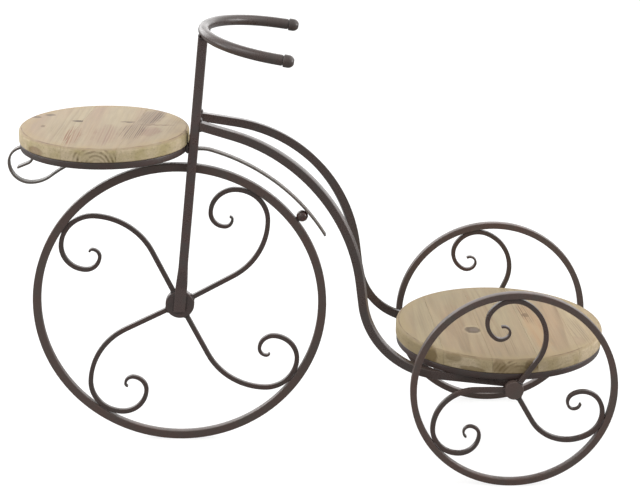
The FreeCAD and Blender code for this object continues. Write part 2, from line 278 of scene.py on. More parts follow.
def makeScrewSteel(look):
    material, tree, shader = newMaterial("screwSteel")
    place = objectPlace(tree)
    brushed = noise(tree, vector(tree, "MULTIPLY", place, look["brushWay"]), *look["brush"])
    dull = remap(tree, noise(tree, place, *look["dull"]), *look["dullRange"])
    color = mixColor(tree, dull, look["bright"], look["tarnish"])
    coat(tree, shader, color, remap(tree, brushed, *look["roughRange"]), brushed, look["bump"])
    shader.inputs["Metallic"].default_value = 1.0
    return material


screwSteel = makeScrewSteel(steelLook)
print("mixed", len(paints), "paints and the screw steel")


# fir: faint rings about a pith line, so tops show streaks and ends show arcs

grainLook = {
    "along": 0.13, "wander": (30.0, (0.008, 0.0, 0.008)), "ringRange": (0.0, 1.0, 0.35, 1.0),
    "lateRise": (0.4, 0.85), "lateFall": (0.9, 1.0, 1.0, 0.0),  # dark late wood across one ring
    "fade": (19.0, 2), "fadeRange": (0.42, 0.62, 0.1, 1.0),
    "arcRise": (0.25, 0.6), "arcFall": (0.8, 1.0, 1.0, 0.0),
    "arcStart": (0.3, 0.75, 0.3, 1.0), "arcStop": (0.8, 1.25, 1.0, 0.12),  # shares of Reach
    "broken": (105.0, 2), "brokenRange": (0.4, 0.56, 0.15, 1.0),
    "blush": (22.0, 3), "blushShift": (5.2, 1.3, 0.4), "blushRange": (0.4, 0.64),
    "moss": (34.0, 3), "mossRange": (0.4, 0.62),
    "pore": (480.0, 2), "poreAlong": 0.3, "poreRange": (0.56, 0.74, 0.0, 0.3),
    "fibre": (620.0, 3), "fibreAlong": 0.22, "fibreRange": (0.25, 0.75, 0.91, 1.07),
    "band": (170.0, 3), "bandAlong": 0.6, "bandRange": (0.3, 0.7, 0.93, 1.06),
    "roughRange": (0.3, 0.7, 0.62, 0.78), "fibreHigh": 0.7, "streakDeep": 0.3,
}


def makeFirGrain(look):
    group, given, result = newGroup(
        "firGrain",
        [("Place", "Vector"), ("Side", "Float"), ("Seed", "Float"), ("Spacing", "Float"),
         ("Streaks", "Float"), ("Arcs", "Float"), ("Reach", "Float"), ("Pale", "Color"), ("Rosy", "Color"),
         ("Late", "Color"), ("Ends", "Color"), ("Moss", "Color"), ("Ring", "Color")],
        [("Color", "Color"), ("Rough", "Float"), ("Height", "Float")],
    )
    place, seed = given["Place"], given["Seed"]
    drawn = vector(group, "ADD", lengthen(group, place, look["along"]), grey(group, seed))
    wandered = vector(group, "ADD", place, wobble(group, drawn, *look["wander"]))
    across = vector(group, "LENGTH", lengthen(group, wandered, 0.0))
    phase = calc(group, "DIVIDE", across, given["Spacing"])
    part = calc(group, "FRACT", phase)
    # streaks of late wood on the tops
    late = hump(group, part, look["lateRise"], look["lateFall"], smooth=True)
    late = times(group, late, remap(group, randomTone(group, phase, seed), *look["ringRange"]))
    fade = remap(group, noise(group, drawn, *look["fade"]), *look["fadeRange"])
    streaks = times(group, late, fade, given["Streaks"])
    # broken arcs round the pith on the ends
    reach = calc(group, "DIVIDE", across, given["Reach"])
    near = hump(group, reach, look["arcStop"], look["arcStart"], smooth=True)
    broken = remap(group, noise(group, place, *look["broken"]), *look["brokenRange"])
    wide = hump(group, part, look["arcRise"], look["arcFall"], smooth=True)
    arcs = times(group, wide, near, broken, given["Arcs"])
    blush = noise(group, vector(group, "ADD", drawn, look["blushShift"]), *look["blush"])
    top = mixColor(group, remap(group, blush, *look["blushRange"]), given["Pale"], given["Rosy"])
    top = mixColor(group, streaks, top, given["Late"])
    moss = noise(group, vector(group, "ADD", place, grey(group, seed)), *look["moss"])
    ends = mixColor(group, remap(group, moss, *look["mossRange"]), given["Ends"], given["Moss"])
    pores = noise(group, lengthen(group, place, look["poreAlong"]), *look["pore"])
    ends = mixColor(group, remap(group, pores, *look["poreRange"]), ends, given["Ring"])
    ends = mixColor(group, arcs, ends, given["Ring"])
    # tops and ends meet by the normal's upward share; the tops' darker tones are painted shade
    color = mixColor(group, given["Side"], top, ends)
    # fine fibres and soft bands over all of it
    fibre = noise(group, lengthen(group, drawn, look["fibreAlong"]), *look["fibre"])
    band = noise(group, lengthen(group, drawn, look["bandAlong"]), *look["band"])
    tone = times(group, remap(group, fibre, *look["fibreRange"]), remap(group, band, *look["bandRange"]))
    group.links.new(mixColor(group, 1.0, color, grey(group, tone), "MULTIPLY"), result["Color"])
    group.links.new(remap(group, fibre, *look["roughRange"]), result["Rough"])
    raised, sunk = times(group, fibre, look["fibreHigh"]), times(group, streaks, look["streakDeep"])
    group.links.new(calc(group, "SUBTRACT", raised, sunk), result["Height"])
    return group


firGrain = makeFirGrain(grainLook)


# a bundle of fine dark grain lines that fades out at its ends

bundleLook = {
    "along": 0.12, "drift": (70.0, 2), "driftSize": 0.006, "lineRange": (0.42, 0.12),
    "toneRange": (0.1, 0.9, 0.15, 1.0), "ragged": (60.0, (0.012, 0.03, 0.0)), "fadeRange": (1.15, 0.55),
}


def makeLineBundle(look):
    group, given, result = newGroup(
        "lineBundle",
        [("Place", "Vector"), ("Size", "Vector"), ("Pitch", "Float"), ("Lines", "Float"), ("Seed", "Float")],
        [("Mask", "Float")],
    )
    place, seed = given["Place"], given["Seed"]
    drawn = vector(group, "ADD", lengthen(group, place, look["along"]), grey(group, seed))
    drift = calc(group, "SUBTRACT", noise(group, drawn, *look["drift"]), 0.5)
    drift = times(group, drift, look["driftSize"])
    phase = calc(group, "DIVIDE", calc(group, "ADD", axes(group, place)["X"], drift), given["Pitch"])
    peak = calc(group, "ABSOLUTE", calc(group, "SUBTRACT", calc(group, "FRACT", phase), 0.5))
    tone = remap(group, randomTone(group, phase, seed), *look["toneRange"])
    line = times(group, remap(group, peak, *look["lineRange"], smooth=True), tone)
    line = mixValue(group, given["Lines"], 1.0, line)
    ragged = vector(group, "ADD", place, wobble(group, place, *look["ragged"]))
    away = vector(group, "LENGTH", vector(group, "DIVIDE", ragged, given["Size"]))
    group.links.new(times(group, line, remap(group, away, *look["fadeRange"], smooth=True)), result["Mask"])
    return group


lineBundle = makeLineBundle(bundleLook)

# the top tones are darker than the end tones: painted shade on the tops that holds them down under the strong
# top light; the arcs, moss and pores on the ends are grain
firTones = {
    "front": {
        "Pale": rgb(170, 155, 130), "Rosy": rgb(163, 142, 121), "Late": rgb(116, 97, 84),
        "Ends": rgb(200, 183, 152), "Moss": rgb(178, 163, 122), "Ring": rgb(96, 78, 48), "Spacing": 0.0046},
    "rear": {
        "Pale": rgb(156, 141, 113), "Rosy": rgb(154, 132, 106), "Late": rgb(112, 91, 70),
        "Ends": rgb(190, 172, 143), "Moss": rgb(170, 153, 118), "Ring": rgb(100, 82, 52), "Spacing": 0.0046},
}
wornTones = {"front": rgb(170, 150, 116), "rear": rgb(158, 140, 106)}
knotGrey = rgb(82, 70, 60)
knotBrown = rgb(108, 86, 64)
knotCore = rgb(118, 104, 92)
burnt = rgb(118, 80, 52)
redLine = rgb(134, 92, 70)
greyLine = rgb(80, 62, 60)
plum = rgb(138, 106, 96)
mossy = rgb(118, 100, 66)
halo = rgb(178, 162, 134)
honey = rgb(170, 136, 100)

frontDisc = (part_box("front_ring")[0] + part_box("front_ring")[1]) / 2
rearDisc = (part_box("rear_ring")[0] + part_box("rear_ring")[1]) / 2
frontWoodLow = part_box("front_board_2")[0].z
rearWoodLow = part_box("rear_board_2")[0].z
shelfFoot = {
    "front": Vector((frontDisc.x, frontDisc.y, frontWoodLow)),
    "rear": Vector((rearDisc.x, rearDisc.y, rearWoodLow)),
}

# each board's pith, marks and bundles in mm from the middle of its disc's underside, and its grain's turn
# grain holds the board's own inputs to firGrain, whose Spacing and Reach are in metres
# a mark has its place, half sizes, tone and strength
# a bundle has its middle, half sizes, turn, pitch, how far its lines part, tone and strength
redSeam = ((-34, -42), (11, 40), -3, 2.6, 1.0, redLine, 0.85)  # these two run on across a glue joint
greySeam = ((34.3, -20), (16, 38), -7, 2.5, 1.0, greyLine, 0.9)

firBoards = {
    "front_board_1": {
        "pith": (-80, 0, -34), "turn": -3,
        "grain": {"Streaks": 0.24, "Arcs": 0.1, "Reach": 0.03, "Seed": 2.3},
        "marks": [((-67, 47.6, 15), (7.5, 5, 4), knotGrey, 0.6),
                  ((-82, 37.8, 15), (7, 4.5, 4), knotGrey, 0.6),
                  ((-70.6, -2, 15), (3, 6, 3), knotBrown, 0.6),
                  ((-32.0, 21.7, 16), (8.5, 3.6, 4), knotGrey, 0.85),
                  ((-74, -66, 4), (16, 14, 6), burnt, 0.45)],
        "bundles": [redSeam, ((-52, -14), (9, 44), -4, 2.6, 0.7, knotBrown, 0.2)]},
    "front_board_2": {
        "pith": (2.5, 0, -1.5), "turn": -3,
        "grain": {"Streaks": 0.24, "Arcs": 0.8, "Reach": 0.026, "Seed": 7.1},
        "marks": [((26, 19.5, 16), (9, 3, 4), knotGrey, 0.7)],
        "bundles": [redSeam, ((-14, -30), (7, 40), -3, 3.1, 1.0, redLine, 0.25),
                    ((4, -36), (15, 46), -3, 3.6, 0.8, plum, 0.7), greySeam]},
    "front_board_3": {
        "pith": (52, 0, -36), "turn": -9,
        "grain": {"Streaks": 0.3, "Arcs": 0.12, "Reach": 0.03, "Seed": 4.4},
        "marks": [((60, 7.4, 15), (24, 2.2, 3), knotBrown, 0.75)],
        "bundles": [greySeam, ((53, 43), (15, 38), -11, 2.9, 0.75, greyLine, 0.9),
                    ((56, -22), (12, 20), -9, 3.0, 0.45, plum, 0.6),
                    ((80, 20), (9, 50), -10, 3.2, 0.9, knotBrown, 0.25)]},
    "rear_board_1": {
        "pith": (-120, 0, -40), "turn": 3,
        "grain": {"Streaks": 0.42, "Arcs": 0.1, "Reach": 0.03, "Seed": 9.6, "Ends": rgb(170, 152, 119)},
        "marks": [((-88.5, -84, 8), (11, 13, 12), mossy, 0.85)],
        "bundles": [((-92, 0), (9, 50), 3, 3.2, 0.8, knotBrown, 0.2)]},
    "rear_board_2": {
        "pith": (-55, 0, -46), "turn": 3,
        "grain": {"Streaks": 0.42, "Arcs": 0.25, "Reach": 0.06, "Seed": 3.9, "Ends": rgb(192, 175, 145)},
        "marks": [((-34, -29, 17), (16, 19, 4), halo, 0.3),
                  ((-34.5, -29, 17), (10.5, 12, 4), knotGrey, 0.85),
                  ((-33.2, -27.5, 17), (6, 6.5, 4), knotCore, 0.6),
                  ((-60, -104, 13), (20, 8, 5), mossy, 0.4),
                  ((-46, -116, 3), (26, 8, 3), mossy, 0.6)],
        "bundles": [((-52, 10), (12, 60), 3, 3.4, 0.8, redLine, 0.22)]},
    "rear_board_3": {
        "pith": (4, 0, -6), "turn": 3,
        "grain": {"Streaks": 0.45, "Arcs": 0.7, "Reach": 0.032, "Seed": 5.8, "Ends": rgb(184, 164, 131)},
        "marks": [((6, -122, 5), (24, 10, 7), mossy, 0.4), ((-13, -121, 9), (10, 9, 9), mossy, 0.5),
                  ((25, -119, 10), (11, 9, 8), mossy, 0.6)],
        "bundles": [((2, -60), (12, 50), 3, 2.8, 0.9, knotBrown, 0.35),
                    ((-14, 30), (7, 50), 3, 3.0, 0.9, redLine, 0.25)]},
    "rear_board_4": {
        "pith": (60, 0, -40), "turn": 3,
        "grain": {"Streaks": 0.45, "Arcs": 0.25, "Reach": 0.05, "Seed": 8.3,
                  "Pale": rgb(160, 144, 116), "Rosy": rgb(162, 138, 110)},
        "marks": [((34.7, 22.5, 17), (5, 7, 4), knotBrown, 0.7)],
        "bundles": [((41, -20), (13, 100), 4, 9.0, 0.3, honey, 0.55),
                    ((36, 30), (11, 40), 6, 2.6, 1.0, knotBrown, 0.8),
                    ((60, -20), (12, 60), 3, 3.2, 0.9, redLine, 0.25),
                    ((38, -70), (9, 40), 4, 3.0, 0.9, redLine, 0.3)]},
    "rear_board_5": {
        "pith": (130, 0, -22), "turn": 3,
        "grain": {"Streaks": 0.45, "Arcs": 0.25, "Reach": 0.04, "Seed": 1.7,
                  "Pale": rgb(168, 152, 122), "Rosy": rgb(164, 143, 115)},
        "marks": [((84, -62, 14), (14, 18, 8), plum, 0.2), ((76, -98, 8), (8, 8, 12), mossy, 0.6)],
        "bundles": [((92, -30), (11, 44), 8, 3.0, 0.9, greyLine, 0.35)]},
}

boardLook = {
    "sideRange": (0.85, 0.35),  # upward share of the normal, from a top to an end
    "lean": 1.0,  # degrees that the pith rises along the board
    "wornBand": (22, 3),  # mm inside the rim
    "wornPatch": (38.0, 3), "wornRange": (0.34, 0.6, 0.1, 0.75),
    "ragged": (160.0, (0.006, 0.006, 0.003)), "markRange": (1.0, 0.7),
    "rindRise": (0.55, 0.85), "rindFall": (1.0, 0.9), "rind": 0.3,
    "brinkRise": (0.998, 0.985), "brinkFall": (0.9, 0.96),
    "brinkPatch": (55.0, 3), "brinkRange": (0.38, 0.6, 0.0, 0.75),
    "bump": (0.3, 0.0007), "gloss": 0.3,
}


def drawBundles(tree, color, place, upper, board, foot):
    for index, (spot, halves, angle, pitch, lines, tone, amount) in enumerate(board["bundles"]):
        middle = foot + Vector((*spot, 0)) * mm
        near = placeFrom(tree, place, middle, (0.0, 0.0, math.radians(angle)))
        size = Vector((*halves, 1 / mm)) * mm  # the bundle is flat, so its height does not count
        bundle = {"Place": flatten(tree, near), "Size": size, "Pitch": pitch * mm, "Lines": lines,
                  "Seed": board["grain"]["Seed"] + index}
        mask = times(tree, useGroup(tree, lineBundle, bundle)["Mask"], upper, amount)
        color = mixColor(tree, mask, color, tone)
    return color


def drawMarks(tree, color, place, board, foot, late, look):
    loose = vector(tree, "ADD", place, wobble(tree, place, *look["ragged"]))
    for spot, halves, tone, amount in board["marks"]:
        away = vector(tree, "SUBTRACT", loose, foot + Vector(spot) * mm)
        reach = vector(tree, "LENGTH", vector(tree, "DIVIDE", away, Vector(halves) * mm))
        mask = remap(tree, reach, *look["markRange"], 0.0, amount, smooth=True)
        color = mixColor(tree, mask, color, tone)
        rind = hump(tree, reach, look["rindRise"], look["rindFall"])
        color = mixColor(tree, times(tree, rind, look["rind"] * amount), color, late)
    return color


def makeFirBoard(name, board, shelf, radius, look):
    material, tree, shader = newMaterial("fir_" + name)
    foot, tones = shelfFoot[shelf], firTones[shelf]
    place = objectPlace(tree)
    facing = axes(tree, put(tree, "NewGeometry").outputs["Normal"])["Z"]
    side = remap(tree, calc(tree, "ABSOLUTE", facing), *look["sideRange"])
    upper = calc(tree, "SUBTRACT", 1.0, side)
    turn = math.radians(board["turn"])
    pith = foot + Matrix.Rotation(turn, 3, "Z") @ Vector(board["pith"]) * mm
    local = placeFrom(tree, place, pith, (math.radians(look["lean"]), 0.0, turn))
    grain = useGroup(tree, firGrain, {"Place": local, "Side": side, **tones, **board["grain"]})
    # worn towards the rim
    out = vector(tree, "LENGTH", flatten(tree, vector(tree, "SUBTRACT", place, foot)))
    worn = remap(tree, out, *((radius - inside) * mm for inside in look["wornBand"]), smooth=True)
    worn = times(tree, worn, remap(tree, noise(tree, place, *look["wornPatch"]), *look["wornRange"]), upper)
    color = mixColor(tree, worn, grain["Color"], wornTones[shelf])
    color = drawBundles(tree, color, place, upper, board, foot)
    color = drawMarks(tree, color, place, board, foot, tones["Late"], look)
    # darker line in patches where the eased top edge starts
    brink = hump(tree, facing, look["brinkRise"], look["brinkFall"])
    brink = times(tree, brink, remap(tree, noise(tree, place, *look["brinkPatch"]), *look["brinkRange"]))
    color = mixColor(tree, brink, color, tones["Late"])
    coat(tree, shader, color, grain["Rough"], grain["Height"], look["bump"])
    shader.inputs["Specular IOR Level"].default_value = look["gloss"]
    return material


# which paint goes on which node, and how round its edges are in mm

barFinish = {
    "front_rim": ("wheelPaint", 0.9), "front_hub": ("hubPaint", 1.2), "front_spokes": ("scrollPaint", 0.7),
    "rear_rim_left": ("wheelPaint", 0.8), "rear_rim_right": ("wheelPaint", 0.8),
    "rear_hub_left": ("wheelPaint", 1.0), "rear_hub_right": ("wheelPaint", 1.0),
    "rear_spokes_left": ("scrollPaint", 0.7), "rear_spokes_right": ("scrollPaint", 0.7),
    "fork_leg_left": ("legPaint", 1.6), "fork_leg_right": ("legPaint", 1.6),
    "frame_tube_left": ("tubePaint", 0.8), "frame_tube_right": ("tubePaint", 0.8),
    "handlebar": ("tubePaint", 0), "axle_sleeve": ("tubePaint", 0.5), "rear_axle": ("tubePaint", 0),
    # the rings take the darker paint that carries painted shade from the boards above
    "front_ring": ("ringPaint", 1.3), "rear_ring": ("ringPaint", 1.3),
    "front_ring_tabs": ("tubePaint", 0.6), "rear_ring_tabs": ("tubePaint", 0.6),
    # the strip takes the paler paint that carries painted sheen on its top face
    "front_ring_lugs": ("weldPaint", 0.8), "fender_strip": ("stripPaint", 0.5),
}
edgeLook = {
    "mergeGap": 0.01,  # mm
    "flatTurn": 0.25,  # degrees: slivers of a flat face would hold the rounding back
    "steps": 4,
    "coped": ("fork_leg", "frame_tube"),  # the short edges at their coped ends lie under welds
}


def roundEdges(node, width, look):
    weld = node.modifiers.new("closeFaces", "WELD")
    weld.merge_threshold = look["mergeGap"] * mm
    flat = node.modifiers.new("flatFaces", "DECIMATE")
    flat.decimate_type = "DISSOLVE"
    flat.angle_limit = math.radians(look["flatTurn"])
    edge = node.modifiers.new("roundEdge", "BEVEL")
    edge.width = width * mm
    edge.segments = look["steps"]
    edge.limit_method = "ANGLE"
    edge.angle_limit = sharpTurn
    edge.harden_normals = True
    edge.use_clamp_overlap = not node.name.startswith(look["coped"])


for name, (paint, width) in barFinish.items():
    bar = nodes[name]
    bar.data.materials.clear()
    bar.data.materials.append(paints[paint])
    if width:
        roundEdges(bar, width, edgeLook)
print("paint on", len(barFinish), "nodes")


# helpers for new pieces

def startPiece(add, **options):
    bpy.ops.object.select_all(action="DESELECT")
    add(**options)
    return bpy.context.object


def pickPieces(*pieces):
    bpy.ops.object.select_all(action="DESELECT")
    for piece in pieces:
        piece.select_set(True)
    bpy.context.view_layer.objects.active = pieces[0]


def editAll():
    bpy.ops.object.mode_set(mode="EDIT")
    bpy.ops.mesh.select_all(action="SELECT")


def pickEdges(piece, wanted):
    bpy.ops.mesh.select_mode(type="EDGE")
    bpy.ops.mesh.select_all(action="DESELECT")
    mesh = bmesh.from_edit_mesh(piece.data)
    for edge in mesh.edges:
        edge.select_set(all(wanted(end.co) for end in edge.verts))
    bmesh.update_edit_mesh(piece.data)


def pickFaces(piece, wanted):
    bpy.ops.mesh.select_mode(type="FACE")
    bpy.ops.mesh.select_all(action="DESELECT")
    mesh = bmesh.from_edit_mesh(piece.data)
    for face in mesh.faces:
        face.select_set(wanted(face.calc_center_median(), face.normal))
    bmesh.update_edit_mesh(piece.data)


def extrude(far):
    bpy.ops.mesh.extrude_region_move(TRANSFORM_OT_translate={"value": (0, 0, far)})


def resize(share, level):
    bpy.ops.transform.resize(value=(share, share, 1), center_override=(0, 0, level))


def closeShape(joinGap=0.001 * mm):
    bpy.ops.mesh.select_all(action="SELECT")
    bpy.ops.mesh.remove_doubles(threshold=joinGap)
    bpy.ops.mesh.normals_make_consistent(inside=False)
    bpy.ops.object.mode_set(mode="OBJECT")


def copyOf(piece):
    copy = piece.copy()
    copy.data = piece.data.copy()
    bpy.context.collection.objects.link(copy)
    return copy


def copyTo(piece, place, way, size=(1.0, 1.0, 1.0)):
    copy = copyOf(piece)
    turn = Vector(way).to_track_quat("Z", "Y").to_matrix().to_4x4()
    copy.matrix_world = Matrix.Translation(Vector(place) * mm) @ turn @ Matrix.Diagonal((*size, 1.0))
    return copy


def finishPiece(name, copies, material, body, stands=()):
    bpy.context.view_layer.update()
    pickPieces(*copies)
    piece = copies[0]
    if len(copies) > 1:
        bpy.ops.object.join()
    bpy.ops.object.transform_apply(location=True, rotation=True, scale=True)
    bpy.ops.object.shade_smooth_by_angle(angle=sharpTurn)
    piece.name = name
    piece.data.materials.clear()
    piece.data.materials.append(material)
    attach(piece, body)
    if stands:
        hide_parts(*stands)
    print(name, len(piece.data.polygons), "faces")


# boards: a disc with eased edges is turned once for each shelf, then cut along its glue joints

plankLook = {
    "topEdge": 4.2, "lowEdge": 1.8, "edgeSteps": 7, "sides": 256, "glue": 0.1,
    "beyond": 2.0,  # a cut outside the disc, in radii as the joints are
    "front": {"radius": 98.2, "turn": -8.0, "joints": (-0.3, 0.34)},
    "rear": {"radius": 123.7, "turn": 3.0, "joints": (-0.645, -0.217, 0.212, 0.64)},
}


def makePlanks(look, shelf, disc):
    own = look[shelf]
    low, high = (corner.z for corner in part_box(shelf + "_board_2"))
    radius, glue = own["radius"] * mm, look["glue"] * mm
    wood = startPiece(bpy.ops.mesh.primitive_cylinder_add, vertices=look["sides"], radius=radius,
                      depth=high - low, location=(disc.x, disc.y, (low + high) / 2))
    bpy.ops.object.transform_apply(location=True)
    bpy.ops.object.mode_set(mode="EDIT")
    for rim, width in ((high, look["topEdge"]), (low, look["lowEdge"])):
        pickEdges(wood, lambda end: abs(end.z - rim) < glue)
        bpy.ops.mesh.bevel(offset=width * mm, segments=look["edgeSteps"], affect="EDGES")
    closeShape()
    turn = math.radians(own["turn"])
    across = Vector((math.cos(turn), math.sin(turn), 0))
    limits = [-look["beyond"], *own["joints"], look["beyond"]]
    for index in range(len(limits) - 1):
        plank = copyOf(wood)
        pickPieces(plank)
        bpy.ops.object.mode_set(mode="EDIT")
        for limit, start in ((limits[index], True), (limits[index + 1], False)):
            cut = Vector((disc.x, disc.y, 0)) + across * (limit * radius + (glue if start else -glue))
            bpy.ops.mesh.select_all(action="SELECT")
            bpy.ops.mesh.bisect(plane_co=cut, plane_no=across, use_fill=True,
                                clear_inner=start, clear_outer=not start)
        closeShape()
        node = f"{shelf}_board_{index + 1}"
        finish = makeFirBoard(node, firBoards[node], shelf, own["radius"], boardLook)
        finishPiece(f"{shelf}Plank{index + 1}", [plank], finish, "frame", [node])
    bpy.data.objects.remove(wood)


makePlanks(plankLook, "front", frontDisc)
makePlanks(plankLook, "rear", rearDisc)
print("boards cut")


# round handlebar caps on a narrow neck, with a shallow dimple in the end

capLook = {
    "radius": 7.2, "sides": 48, "rings": 28, "collar": 5.2, "neck": 1.2, "neckRadius": 5.4,
    "shoulder": 0.8, "bendAlong": 0.6, "bendIn": 0.3,  # the bend's place in shares of the shoulder
    "dimple": 2.8, "dimpleLip": 0.5, "dimpleDeep": 0.5,
    "ends": [
        # where the bar stops, and which way it points
        ((-36.5, -97.4, 496.5), (0.9836, -0.1111, -0.1423)),
        ((-28.65, 89.6, 496.5), (0.9894, 0.0284, -0.1423)),
    ],
}


def makeCaps(look):
    radius, shoulder, collar, neck = (look[key] for key in ("radius", "shoulder", "collar", "neck"))
    cap = startPiece(bpy.ops.mesh.primitive_uv_sphere_add, segments=look["sides"], ring_count=look["rings"],
                     radius=radius * mm)
    editAll()
    bpy.ops.mesh.bisect(plane_co=(0, 0, 0), plane_no=(0, 0, 1), clear_inner=True)
    # straight collar, rounded shoulder, then the narrow neck: how far on, and the radius there
    steps = [(collar - shoulder, radius), (shoulder * look["bendAlong"], radius - shoulder * look["bendIn"]),
             (shoulder * (1 - look["bendAlong"]), radius - shoulder), (0.0, look["neckRadius"]),
             (neck, look["neckRadius"])]
    level, before = 0.0, radius
    for deep, now in steps:
        level -= deep
        extrude(-deep * mm)
        resize(now / before, level * mm)
        before = now
    bpy.ops.mesh.edge_face_add()
    front = math.sqrt(radius ** 2 - look["dimple"] ** 2) * mm
    pickFaces(cap, lambda middle, normal: middle.z > front)
    bpy.ops.mesh.inset(thickness=look["dimpleLip"] * mm, depth=-look["dimpleDeep"] * mm)
    closeShape()
    copies = []
    for end, way in look["ends"]:
        copies.append(copyTo(cap, Vector(end) + Vector(way) * (collar + neck), way))
    bpy.data.objects.remove(cap)
    finishPiece("barCaps", copies, paints["tubePaint"], "frame", ["handlebar_caps"])


makeCaps(capLook)


# the forged ball between rim and strip

ballLook = {"fineness": 4, "uneven": 0.3, "seed": 4, "smooth": 0.5, "smoothRounds": 2}


def makeBall(look):
    low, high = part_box("fender_ball")
    uneven = look["uneven"] * mm
    ball = startPiece(bpy.ops.mesh.primitive_ico_sphere_add, subdivisions=look["fineness"],
                      radius=(high.y - low.y) / 2 - uneven)
    editAll()
    bpy.ops.transform.vertex_random(offset=uneven, seed=look["seed"])
    bpy.ops.mesh.vertices_smooth(factor=look["smooth"], repeat=look["smoothRounds"])
    closeShape()
    ball.location = (low + high) / 2
    finishPiece("forgedBall", [ball], paints["ballPaint"], "frame", ["fender_ball"])


makeBall(ballLook)


# wood screws with a cross recess

screwLook = {
    "head": 4.0, "headHigh": 2.2, "sides": 32, "dome": 0.7, "domeSteps": 3,
    "shank": 2.0, "shankLong": 13.0, "point": 2.0, "tipShare": 0.3,
    "slotLong": 4.6, "slotWide": 1.1, "slotDeep": 1.3, "slotTurns": (0, 90),
    "level": 0.9,  # a face whose normal is this upright is an end of the head
    "front": {"spread": 79.2, "turns": (90, 210, 330)},
    "rear": {"spread": 104.7, "turns": (0, 120, 240)},
}


def makeScrews(look, shelf, disc):
    high = look["headHigh"] * mm
    screw = startPiece(bpy.ops.mesh.primitive_cylinder_add, vertices=look["sides"], radius=look["head"] * mm,
                       depth=high)
    bpy.ops.object.mode_set(mode="EDIT")
    pickFaces(screw, lambda middle, normal: normal.z < -look["level"])
    bpy.ops.mesh.bevel(offset=look["dome"] * mm, segments=look["domeSteps"], affect="EDGES")
    pickFaces(screw, lambda middle, normal: normal.z > look["level"])
    bpy.ops.mesh.inset(thickness=(look["head"] - look["shank"]) * mm)
    extrude(look["shankLong"] * mm)
    extrude(look["point"] * mm)
    resize(look["tipShare"], 0)
    closeShape()
    for turn in look["slotTurns"]:
        slot = startPiece(bpy.ops.mesh.primitive_cube_add, size=1.0, location=(0, 0, -high / 2),
                          rotation=(0, 0, math.radians(turn)),
                          scale=Vector((look["slotLong"], look["slotWide"], 2 * look["slotDeep"])) * mm)
        bpy.context.view_layer.update()
        pickPieces(screw)
        cut = screw.modifiers.new("crossSlot", "BOOLEAN")
        cut.object = slot
        cut.operation = "DIFFERENCE"
        bpy.ops.object.modifier_apply(modifier=cut.name)
        bpy.data.objects.remove(slot)
    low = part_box(shelf + "_shelf_screws")[0].z / mm + look["headHigh"] / 2
    copies = []
    for turn in look[shelf]["turns"]:
        out = Vector((math.cos(math.radians(turn)), math.sin(math.radians(turn)), 0))
        place = Vector((disc.x / mm, disc.y / mm, low)) + out * look[shelf]["spread"]
        copies.append(copyTo(screw, place, (0, 0, 1)))
    bpy.data.objects.remove(screw)
    finishPiece(shelf + "Screws", copies, screwSteel, "frame", [shelf + "_shelf_screws"])


makeScrews(screwLook, "front", frontDisc)
makeScrews(screwLook, "rear", rearDisc)
print("caps, ball and screws made")


# weld beads: one rippled bead, 2 long and 2 wide, is modelled and laid along every joint

beadLook = {"sides": 14, "steps": 26, "ripples": 5, "rippleHigh": 0.12, "tip": 0.35, "blunt": 4}


def makeBead(look):
    tip, step = look["tip"], 2 / look["steps"]
    bead = startPiece(bpy.ops.mesh.primitive_circle_add, vertices=look["sides"], radius=tip, fill_type="NGON",
                      location=(0, 0, -1))
    bpy.ops.object.transform_apply(location=True)
    editAll()
    before = tip
    for index in range(1, look["steps"] + 1):
        along = 2 * index / look["steps"] - 1
        swell = tip + (1 - tip) * math.sqrt(1 - along ** look["blunt"])
        wave = math.cos(math.pi * look["ripples"] * along)
        now = swell * (1 - look["rippleHigh"] / 2 * (1 - wave))
        extrude(step)
        resize(now / before, along)
        before = now
    closeShape()
    return bead


